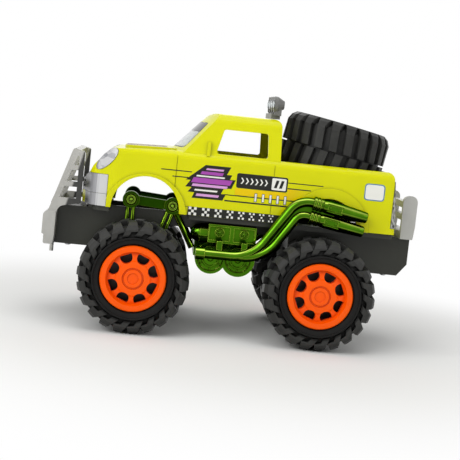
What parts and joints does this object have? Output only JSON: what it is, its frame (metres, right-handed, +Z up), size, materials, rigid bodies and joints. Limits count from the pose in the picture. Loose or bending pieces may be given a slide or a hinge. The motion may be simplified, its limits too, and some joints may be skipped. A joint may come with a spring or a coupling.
{
  "type": "toy monster truck",
  "caption": "Toy monster pickup with oversized lugged wheels on free-turning axles, open side windows, side exhausts, a bull bar, roof lamps and a spare wheel in the bed.",
  "frame": {"origin": "middle of the footprint on the ground under the tyres", "axes": "nose along -X, the truck's right side along +Y, up along +Z"},
  "size_m": [0.291, 0.166, 0.1899],
  "materials": {
    "lime_abs": "gloss moulded",
    "clear_plastic": "clear moulded",
    "silver_paint": "silver paint on plastic",
    "grey_plastic": "satin moulded",
    "black_plastic": "satin moulded",
    "green_chrome": "green vacuum plating on plastic",
    "orange_abs": "gloss moulded",
    "tyre_pvc": "matte soft plastic",
    "steel": "plain wire"
  },
  "bodies": {
    "truck": {"body_shell": "lime_abs", "windscreen": "clear_plastic", "front_bumper": "silver_paint", "bumper_corners": "silver_paint", "headlamps": "silver_paint", "tail_lamps": "silver_paint", "roof_light_bar": "grey_plastic", "bull_bar": "grey_plastic", "rear_guard": "grey_plastic", "chassis_tray": "black_plastic", "front_axle_box": "black_plastic", "rear_axle_box": "black_plastic", "spare_carrier": "black_plastic", "engine_left": "green_chrome", "engine_right": "green_chrome", "transmission": "green_chrome", "exhaust_left": "green_chrome", "exhaust_right": "green_chrome", "suspension_left": "green_chrome", "suspension_right": "green_chrome", "friction_motor": "steel", "spare_tyre": "tyre_pvc", "spare_rim": "orange_abs"},
    "front_wheels": {"front_axle": "steel", "front_left_tyre": "tyre_pvc", "front_left_rim": "orange_abs", "front_left_drum": "black_plastic", "front_right_tyre": "tyre_pvc", "front_right_rim": "orange_abs", "front_right_drum": "black_plastic"},
    "rear_wheels": {"rear_axle": "steel", "rear_left_tyre": "tyre_pvc", "rear_left_rim": "orange_abs", "rear_left_drum": "black_plastic", "rear_right_tyre": "tyre_pvc", "rear_right_rim": "orange_abs", "rear_right_drum": "black_plastic"}
  },
  "joints": [
    {"name": "front_axle_spin", "type": "hinge", "parent": "truck", "child": "front_wheels", "pos_m": [-0.071, 0, 0.0425], "axis": [0, 1, 0], "continuous": true},
    {"name": "rear_axle_spin", "type": "hinge", "parent": "truck", "child": "rear_wheels", "pos_m": [0.071, 0, 0.0425], "axis": [0, 1, 0], "continuous": true}
  ]
}
